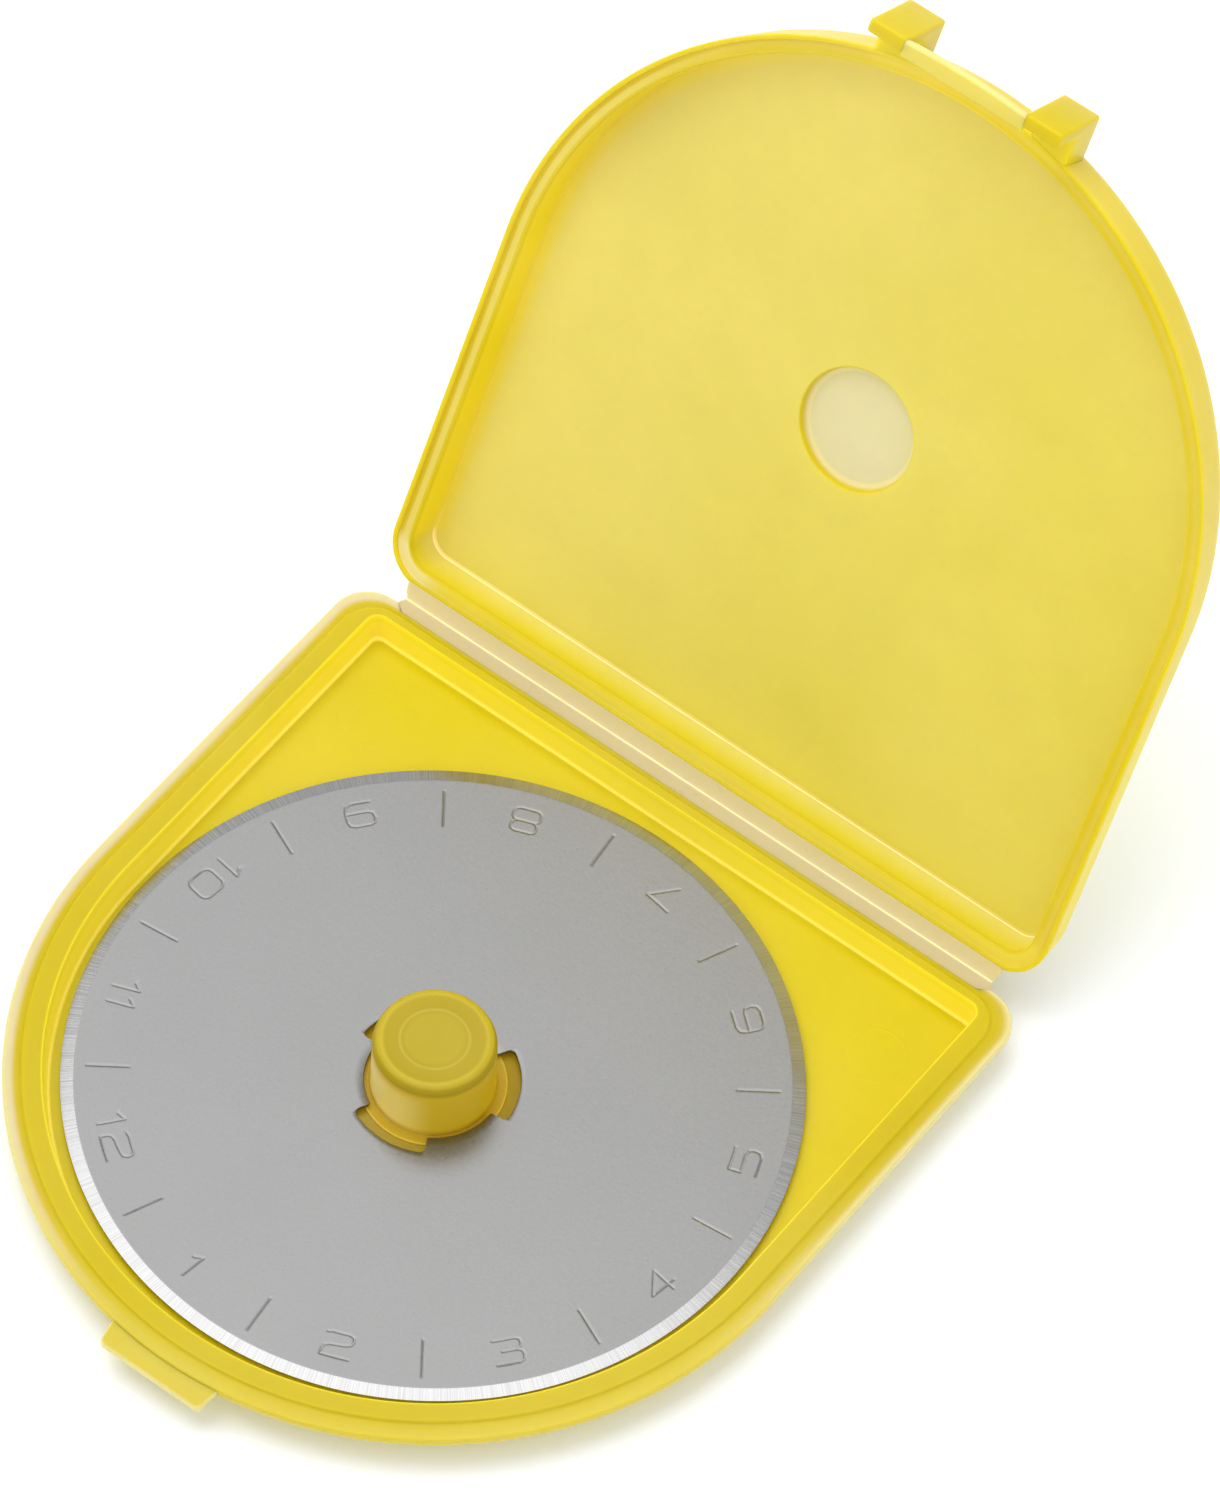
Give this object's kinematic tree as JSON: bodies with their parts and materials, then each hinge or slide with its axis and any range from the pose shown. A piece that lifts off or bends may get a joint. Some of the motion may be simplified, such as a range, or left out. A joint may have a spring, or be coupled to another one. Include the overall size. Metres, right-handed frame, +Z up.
{
  "type": "rotary cutter blade in a hinged case",
  "caption": "Round 45 mm rotary cutter blade on the post of an open, D-shaped, translucent yellow clamshell case with a living hinge and snap hooks.",
  "frame": {"origin": "on the flat underside of the tray, below the centre of the blade", "axes": "+Z up out of the tray, +Y from the blade towards the hinge, +X along the hinge"},
  "size_m": [0.0516, 0.0803, 0.0511],
  "materials": {
    "case_polypropylene": "translucent, satin",
    "case_thin_web": "translucent, satin, paler where the wall is thin",
    "blade_steel": "satin, with a ground bevel"
  },
  "bodies": {
    "base": {"base_tray": "case_polypropylene", "blade_post": "case_polypropylene", "thumb_tab": "case_polypropylene", "hinge_web_base": "case_thin_web"},
    "lid": {"lid_shell": "case_polypropylene", "hinge_web_lid": "case_thin_web", "latch_hook_left": "case_polypropylene", "latch_hook_right": "case_polypropylene", "latch_bar": "case_thin_web"},
    "blade": {"rotary_blade": "blade_steel"}
  },
  "joints": [
    {"name": "lid_hinge", "type": "hinge", "parent": "base", "child": "lid", "pos_m": [0, 0.02605, 0.00295], "axis": [-1, 0, 0], "range_deg": [-117.5, 45]},
    {"name": "blade_spin", "type": "hinge", "parent": "base", "child": "blade", "pos_m": [0, 0, 0.0015], "axis": [0, 0, 1], "continuous": true}
  ]
}
